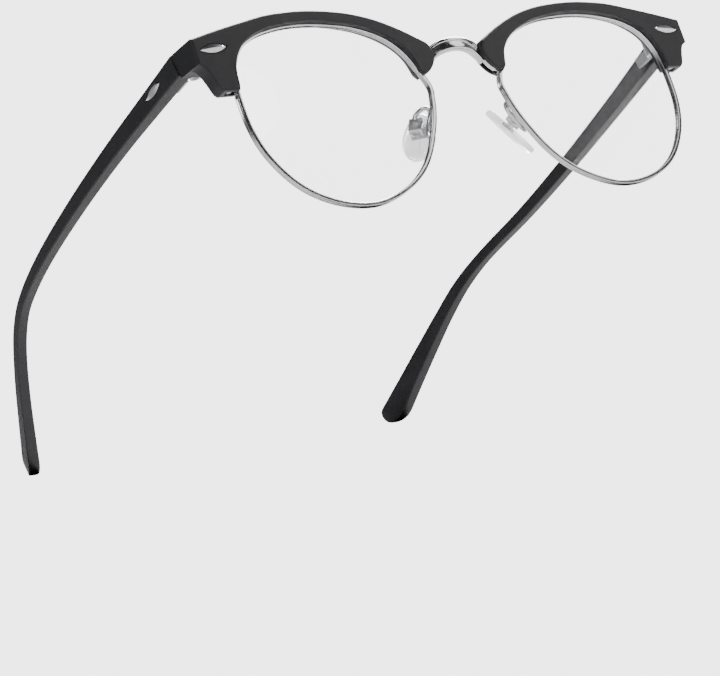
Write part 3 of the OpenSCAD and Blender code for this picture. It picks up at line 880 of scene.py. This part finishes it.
def plaque_solid(length, height):
    """A pointed oval plate with a ridge along its middle."""
    outline = vesica(length, height, PLAQUE_STEPS)
    half = length / 2
    bm = bmesh.new()
    low = [bm.verts.new((x, y, -PLAQUE_SINK)) for x, y in outline]
    rim = [bm.verts.new((x, y, -0.12)) for x, y in outline]
    crest = [bm.verts.new((x * 0.9, 0, 0.2 - 0.14 * (x / half) ** 2)) for x, y in outline]
    n = len(outline)
    bm.faces.new(list(reversed(low)))
    for i in range(n):
        j = (i + 1) % n
        bm.faces.new((low[i], low[j], rim[j], rim[i]))
        bm.faces.new((rim[i], rim[j], crest[j], crest[i]))
    bmesh.ops.remove_doubles(bm, verts=bm.verts, dist=WELD)
    bmesh.ops.recalc_face_normals(bm, faces=bm.faces)
    return bm


class EYEGLASS_OT_plaques(bpy.types.Operator):
    """Makes the pointed oval plaques on the brows and the temples"""

    bl_idname = "eyeglass.plaques"
    bl_label = "Plaques"

    def execute(self, context):
        metal = finish("plaque silver")
        for side in SIDES:
            finish_piece(
                "brow_plaque_" + side, plaque_solid(PLAQUE_L, PLAQUE_H), plaque_frame(side, False), metal,
                "front", ["front_plaque_" + side], 20)
            finish_piece(
                "arm_plaque_" + side, plaque_solid(TEMPLE_PLAQUE_L, TEMPLE_PLAQUE_H),
                plaque_frame(side, True), metal, "temple_" + side, ["temple_plaque_" + side], 20)
        return {"FINISHED"}


def temple_section(bottom, top, shrink=0.0):
    """One cross-section of the temple, its outer edges crisp and its inner ones soft."""
    (y0, z0), (y1, z1) = bottom, top
    height = math.hypot(y1 - y0, z1 - z0)
    thick = lookup((y0 + y1) / 2, TEMPLE_THICK) - 2 * shrink
    crisp, soft = min(0.25, height / 4), min(0.4, height / 4, thick / 3)
    band = min(1.0, height / 5)
    corners = [
        (shrink, crisp), (shrink + 0.12, crisp * 0.4), (shrink + crisp, 0.0),
        (shrink + thick - soft, 0.0), (shrink + thick - soft * 0.3, soft * 0.3), (shrink + thick, soft),
        (shrink + thick, height - soft), (shrink + thick - soft * 0.3, height - soft * 0.3),
        (shrink + thick - soft, height), (shrink + crisp, height), (shrink + 0.12, height - crisp * 0.4),
        (shrink, height - crisp), (shrink, crisp + band)]
    ring = []
    for inward, up in corners:
        y = y0 + (y1 - y0) * up / height
        z = z0 + (z1 - z0) * up / height
        ring.append((lookup(y, TEMPLE_OUT_LINE) - inward, y, z))
    return ring


def temple_solid():
    """The left temple at rest, in its side's frame."""
    pairs = list(zip(open_curve(TEMPLE_BOTTOM, 6), open_curve(TEMPLE_TOP, 6)))
    rings = [temple_section(b, t) for b, t in pairs]
    rings += [temple_section(b, t, shrink) for b, t, shrink in TEMPLE_TIP]
    body = lofted(rings)
    recess = plaque_recess(TEMPLE_PLAQUE_L, TEMPLE_PLAQUE_H)
    recess.transform(side_frame().inverted() @ plaque_frame("left", True))
    knuckle = BARREL_H / 3
    neck_z = (HINGE_LOW + knuckle + 0.06, HINGE_LOW + 2 * knuckle - 0.06)
    leaf, neck = [
        block(*[(HINGE_X + LEAF_BACK_X[i], HINGE_Y + y[i], z[i]) for i in (0, 1)])
        for y, z in ((LEAF_BACK_Y, LEAF_BACK_Z), (NECK_Y, neck_z))]
    return joined(body, [
        block(*AHEAD_OF_BUTT, butt_frame(BUTT_GAP)),
        rod(HINGE_X, HINGE_Y, HINGE_LOW - WELL_BELOW, HINGE_LOW + WELL_ABOVE, WELL_R),
        leaf, neck, recess,
    ])


class EYEGLASS_OT_temples(bpy.types.Operator):
    """Lofts the two temples, from the hinge to the rounded tip"""

    bl_idname = "eyeglass.temples"
    bl_label = "Temples"

    def execute(self, context):
        solid = temple_solid()
        for side in SIDES:
            node = "temple_" + side
            finish_piece(
                "side_arm_" + side, solid.copy(), side_frame(side), finish("temple plastic"), node, [node],
                32)
        solid.free()
        return {"FINISHED"}


class EYEGLASS_OT_hinges(bpy.types.Operator):
    """Makes the three-barrel hinges' leaves"""

    bl_idname = "eyeglass.hinges"
    bl_label = "Hinges"

    def execute(self, context):
        for side in SIDES:
            for part, body in (("hinge_front_", "front"), ("hinge_temple_", "temple_" + side)):
                node = part + side
                finish_piece(
                    node + "_leaf", refined(node, 0.07), None, finish("hinge steel"), body, [node],
                    40)
        return {"FINISHED"}


class EYEGLASS_OT_locks(bpy.types.Operator):
    """Makes the blocks that close the eyewires"""

    bl_idname = "eyeglass.locks"
    bl_label = "Eyewire locks"

    def execute(self, context):
        for side in SIDES:
            node = "rim_lock_" + side
            finish_piece(
                "eyewire_lock_" + side, refined(node, 0.08), None, finish("eyewire silver"), "front",
                [node], 40)
        return {"FINISHED"}


class EYEGLASS_OT_pad_arms(bpy.types.Operator):
    """Bends the pad arms from round wire and adds their boxes"""

    bl_idname = "eyeglass.pad_arms"
    bl_label = "Pad arms"

    def execute(self, context):
        metal = finish("pad arm silver")
        r = context.scene.eyeglass_sizes.arm_wire / MM / 2
        ring = circle(r, 14)
        for side in SIDES:
            bm = swept(open_curve(ARM_ROUTE, 6), ring, False, 0.22, metal, "MINIMUM_TWIST")
            finish_piece(
                "pad_wire_" + side, bm, side_frame(side), metal, "front", ["pad_arm_" + side],
                50)
            node = "pad_box_" + side
            finish_piece(
                "pad_holder_" + side, refined(node, 0.2), None, metal, "front", [node], 40)
        return {"FINISHED"}


class EYEGLASS_OT_nose_pads(bpy.types.Operator):
    """Makes the crowned nose pads and the lugs moulded into them"""

    bl_idname = "eyeglass.nose_pads"
    bl_label = "Nose pads"

    def execute(self, context):
        outline = []
        for k in range(48):
            a = math.tau * k / 48
            width = PAD_W / 2 * (1 - 0.1 * math.sin(a))
            outline.append((width * math.cos(a), PAD_L / 2 * math.sin(a) - PAD_DROP))
        levels = [
            (1.3, 0.14), (1.1, 0.02), (0.5, 0.0), (0.2, 0.06), (0.04, 0.24), (0.0, 0.5), (0.0, 1.1),
            (0.06, 1.32), (0.25, 1.5), (0.6, 1.6), (1.3, 1.66), (2.2, PAD_T)]
        solid = lofted([[(x, y, z) for x, y in grown(outline, -inset)] for inset, z in levels])
        solid.transform(FACE_TO_PAD)
        bmesh.ops.recalc_face_normals(solid, faces=solid.faces)
        solid = joined(solid, [block((-1.6, -0.5, -1.6), (1.6, 0.6, 1.6))])
        for side in SIDES:
            body = "nose_pad_" + side
            finish_piece(
                "soft_pad_" + side, solid.copy(), pad_frame(side), finish("soft clear pad"), body, [body],
                40)
            node = "pad_lug_" + side
            finish_piece(
                "pad_stem_" + side, refined(node, 0.1), None, finish("clear lug"), body, [node],
                40)
        solid.free()
        return {"FINISHED"}


def screw_solid(shank_r, shank_l, head_r, head_h, slot_w):
    """A slotted screw along z, its head's seat at z = 0."""
    rings = []
    for r, z in [
            (shank_r - 0.06, -shank_l), (shank_r, -shank_l + 0.06), (shank_r, -0.001), (head_r, 0.0),
            (head_r, head_h * 0.55), (head_r - head_h * 0.25, head_h * 0.9),
            (head_r - head_h * 0.6, head_h)]:
        rings.append([(x, y, z) for x, y in circle(r, 28)])
    slot = block((-head_r - 1, -slot_w / 2, head_h * 0.45), (head_r + 1, slot_w / 2, head_h + 1))
    return joined(lofted(rings), [slot])


class EYEGLASS_OT_screws(bpy.types.Operator):
    """Sets a slotted screw in each bridge plate, eyewire lock, hinge and pad box"""

    bl_idname = "eyeglass.screws"
    bl_label = "Screws"

    def execute(self, context):
        metal = finish("screw steel")
        x, v = PLATE_SCREW
        lock_depth = -(LOCK_A + LOCK_B) / 2
        kinds = [
            ("plate_screws", front_frame, (x, v, -(BROW_DEPTH - PLATE_HEAD_SINK)), (0, 0, -1),
             (PLATE_SCREW_R - 0.01, BROW_DEPTH - PLATE_HEAD_SINK - PLATE_A, 0.98, 0.55, 0.26)),
            ("rim_lock_screws", front_frame, (LOCK_X, LOCK_LOW, lock_depth), (0, -1, 0),
             (0.39, 3.4, 0.7, 0.5, 0.24)),
            ("hinge_screws", side_frame, (HINGE_X, HINGE_Y, HINGE_LOW + BARREL_H), (0, 0, 1),
             (PIN_R - 0.01, BARREL_H - 0.15, 1.15, 0.4, 0.3)),
            ("pad_screws", pad_frame, (BOX_W / 2, -PAD_PIN_BACK, 0), (1, 0, 0),
             (0.39, BOX_W - 0.05, 0.65, 0.35, 0.18)),
        ]
        tree = screw_tree()
        for node, place, spot, axis, sizes in kinds:
            points = bmesh.new()
            layer = points.verts.layers.float_vector.new("axis")
            for side in SIDES:
                matrix = place(side)
                vert = points.verts.new(matrix @ Vector(spot))
                vert[layer] = (matrix.to_3x3() @ Vector(axis)).normalized()
            one = work_object(screw_solid(*sizes))
            bm = run_tree(points, tree, {"Screw": one, "Finish": metal})
            bpy.data.objects.remove(one)
            if not bm.faces:
                raise RuntimeError("no screws were made for " + node)
            finish_piece(node + "_slotted", bm, Matrix.Identity(4), metal, "front", [node], 30)
        return {"FINISHED"}


# ---------- stage ----------

# The camera's place in millimetres, and its rightward and downward directions
CAMERA_AT = (-399.6, -500.8, -208.3)
CAMERA_RIGHT = (0.798375, -0.499187, -0.336764)
CAMERA_DOWN = (-0.097833, 0.444299, -0.890521)
CAMERA_LENS = 138.47
FLOOR_HALF = 1.5
# Each light's name, place, size and power
LIGHTS = [
    ("overhead", (0.47, 0.08, 0.62), 0.5, 18),
    ("left", (-0.85, -0.25, 0.4), 0.3, 1.2),
    ("right_front", (0.55, -0.68, 0.4), 0.5, 1.1),
    ("front", (-0.15, -0.9, 0.55), 0.35, 1.2),
    ("behind", (0.35, 0.85, 0.3), 0.4, 1.5),
]
LIGHTS_AIM = (0, 0, 0.02)
# The direction that the room is dimmest in, in front of the glasses
DIM_SIDE = (-0.35, -0.93, -0.1)


def pale_floor():
    """A plain floor, seen only from above, so that the glasses can be seen from below too."""
    bm = bmesh.new()
    bmesh.ops.create_grid(bm, x_segments=24, y_segments=24, size=FLOOR_HALF)
    obj = bpy.data.objects.new("floor", mesh_of(bm, "floor"))
    bpy.context.scene.collection.objects.link(obj)
    s = Shader("pale floor")
    s.set(Base_Color=(0.5, 0.5, 0.5, 1), Roughness=0.75)
    side = s.add("ShaderNodeNewGeometry")
    clear = s.add("ShaderNodeBsdfTransparent")
    mix = s.add("ShaderNodeMixShader")
    s.link(side.outputs["Backfacing"], mix.inputs["Fac"])
    s.link(s.main.outputs["BSDF"], mix.inputs[1])
    s.link(clear.outputs["BSDF"], mix.inputs[2])
    s.link(mix.outputs["Shader"], s.tree.nodes["Material Output"].inputs["Surface"])
    obj.data.materials.append(s.material)


def soft_light(name, at, size, power):
    light = bpy.data.lights.new(name, "AREA")
    light.shape = "DISK"
    light.size = size
    light.energy = power
    obj = bpy.data.objects.new(name, light)
    obj.location = at
    obj.rotation_mode = "QUATERNION"
    obj.rotation_quaternion = (Vector(LIGHTS_AIM) - Vector(at)).to_track_quat("-Z", "Y")
    bpy.context.scene.collection.objects.link(obj)


def pale_room():
    """A white backdrop; what lights the glasses is bright behind and above, dim in front."""
    world = bpy.data.worlds.new("pale room")
    world.use_nodes = True
    tree = world.node_tree
    link = tree.links.new
    around = tree.nodes.new("ShaderNodeTexCoord")
    facing = tree.nodes.new("ShaderNodeVectorMath")
    facing.operation = "DOT_PRODUCT"
    facing.inputs[1].default_value = DIM_SIDE
    ramp = tree.nodes.new("ShaderNodeValToRGB")
    ramp.color_ramp.interpolation = "EASE"
    low, high = ramp.color_ramp.elements
    low.position, low.color = 0.3, (0.62, 0.63, 0.66, 1)
    high.position, high.color = 0.7, (0.06, 0.06, 0.065, 1)
    shift = tree.nodes.new("ShaderNodeMapRange")
    shift.inputs["From Min"].default_value = -1
    base = tree.nodes["Background"]
    base.inputs["Strength"].default_value = 0.5
    seen = tree.nodes.new("ShaderNodeBackground")
    seen.inputs["Color"].default_value = (1, 1, 1, 1)
    seen.inputs["Strength"].default_value = 4.0
    ray = tree.nodes.new("ShaderNodeLightPath")
    mix = tree.nodes.new("ShaderNodeMixShader")
    link(around.outputs["Generated"], facing.inputs[0])
    link(facing.outputs["Value"], shift.inputs["Value"])
    link(shift.outputs["Result"], ramp.inputs["Fac"])
    link(ramp.outputs["Color"], base.inputs["Color"])
    link(ray.outputs["Is Camera Ray"], mix.inputs["Fac"])
    link(base.outputs["Background"], mix.inputs[1])
    link(seen.outputs["Background"], mix.inputs[2])
    link(mix.outputs["Shader"], tree.nodes["World Output"].inputs["Surface"])
    return world


class EYEGLASS_OT_studio(bpy.types.Operator):
    """Lays the floor, hangs the lights and sets the camera"""

    bl_idname = "eyeglass.studio"
    bl_label = "Studio"

    def execute(self, context):
        scene = context.scene
        pale_floor()
        scene.world = pale_room()
        for light in LIGHTS:
            soft_light(*light)

        camera = bpy.data.cameras.new("camera")
        camera.lens = CAMERA_LENS
        camera.sensor_width = 36
        camera.clip_start = 0.01
        camera.clip_end = 20
        obj = bpy.data.objects.new("camera", camera)
        right, down = Vector(CAMERA_RIGHT).normalized(), Vector(CAMERA_DOWN).normalized()
        back = right.cross(-down).normalized()
        axes = Matrix((right, back.cross(right), back)).transposed().to_4x4()
        obj.matrix_world = Matrix.Translation(Vector(CAMERA_AT) * MM) @ axes
        scene.collection.objects.link(obj)
        scene.camera = obj
        return {"FINISHED"}


# ---------- sizes, finishes, panel ----------


class EyeglassSizes(bpy.types.PropertyGroup):
    """Sizes that a user may change"""

    brow_rounding: bpy.props.FloatProperty(
        name="Brow rounding", description="Rounding of the brow's upper edges", default=0.0006,
        min=0.0001, max=0.0007, unit="LENGTH", precision=5)
    lens_crown: bpy.props.FloatProperty(
        name="Lens crown", description="How far the middle of a lens stands proud of its edge",
        default=0.0005, min=0.0, max=0.001, unit="LENGTH", precision=5)
    arm_wire: bpy.props.FloatProperty(
        name="Pad arm wire", description="Diameter of the pad arms' wire", default=ARM_D * MM,
        min=0.0008, max=0.0012, unit="LENGTH", precision=5)


class EyeglassFinishes(bpy.types.PropertyGroup):
    """Colours and polish that a user may change"""

    plastic: bpy.props.FloatVectorProperty(
        name="Plastic", description="Colour of the brows and temples", subtype="COLOR",
        default=(0.016, 0.016, 0.018), min=0, max=1)
    plastic_roughness: bpy.props.FloatProperty(
        name="Plastic roughness", description="Roughness of the moulded plastic", subtype="FACTOR",
        default=0.42, min=0.1, max=0.8)
    silver: bpy.props.FloatVectorProperty(
        name="Silver", description="Colour of the plated metal", subtype="COLOR",
        default=(0.82, 0.82, 0.83), min=0, max=1)
    silver_roughness: bpy.props.FloatProperty(
        name="Silver roughness", description="Roughness of the plated metal", subtype="FACTOR",
        default=0.12, min=0.02, max=0.5)
    steel: bpy.props.FloatVectorProperty(
        name="Steel", description="Colour of the hinges and screws", subtype="COLOR",
        default=(0.62, 0.62, 0.63), min=0, max=1)
    pad: bpy.props.FloatVectorProperty(
        name="Pad", description="Colour of the nose pads", subtype="COLOR",
        default=(0.93, 0.94, 0.96), min=0, max=1)


OPERATORS = [
    EYEGLASS_OT_brows, EYEGLASS_OT_eyewires, EYEGLASS_OT_lenses, EYEGLASS_OT_bridge, EYEGLASS_OT_plaques,
    EYEGLASS_OT_temples, EYEGLASS_OT_hinges, EYEGLASS_OT_locks, EYEGLASS_OT_pad_arms, EYEGLASS_OT_nose_pads,
    EYEGLASS_OT_screws, EYEGLASS_OT_studio,
]


class EYEGLASS_PT_panel(bpy.types.Panel):
    """Lists the pieces and their settings"""

    bl_idname = "EYEGLASS_PT_panel"
    bl_label = "Browline eyeglasses"
    bl_space_type = "VIEW_3D"
    bl_region_type = "UI"
    bl_category = "Eyeglasses"

    def draw(self, context):
        for group in (context.scene.eyeglass_sizes, context.scene.eyeglass_finishes):
            for key in group.__annotations__:
                self.layout.prop(group, key)
        for operator in OPERATORS:
            self.layout.operator(operator.bl_idname)


CLASSES = [EyeglassSizes, EyeglassFinishes, *OPERATORS, EYEGLASS_PT_panel]


def register():
    for cls in CLASSES:
        bpy.utils.register_class(cls)
    bpy.types.Scene.eyeglass_sizes = bpy.props.PointerProperty(type=EyeglassSizes)
    bpy.types.Scene.eyeglass_finishes = bpy.props.PointerProperty(type=EyeglassFinishes)


def unregister():
    del bpy.types.Scene.eyeglass_finishes
    del bpy.types.Scene.eyeglass_sizes
    for cls in reversed(CLASSES):
        bpy.utils.unregister_class(cls)


def main():
    register()
    bpy.ops.eyeglass.brows()
    bpy.ops.eyeglass.eyewires()
    bpy.ops.eyeglass.lenses()
    bpy.ops.eyeglass.bridge()
    bpy.ops.eyeglass.plaques()
    bpy.ops.eyeglass.temples()
    bpy.ops.eyeglass.hinges()
    bpy.ops.eyeglass.locks()
    bpy.ops.eyeglass.pad_arms()
    bpy.ops.eyeglass.nose_pads()
    bpy.ops.eyeglass.screws()
    bpy.ops.eyeglass.studio()


if __name__ == "__main__":
    main()
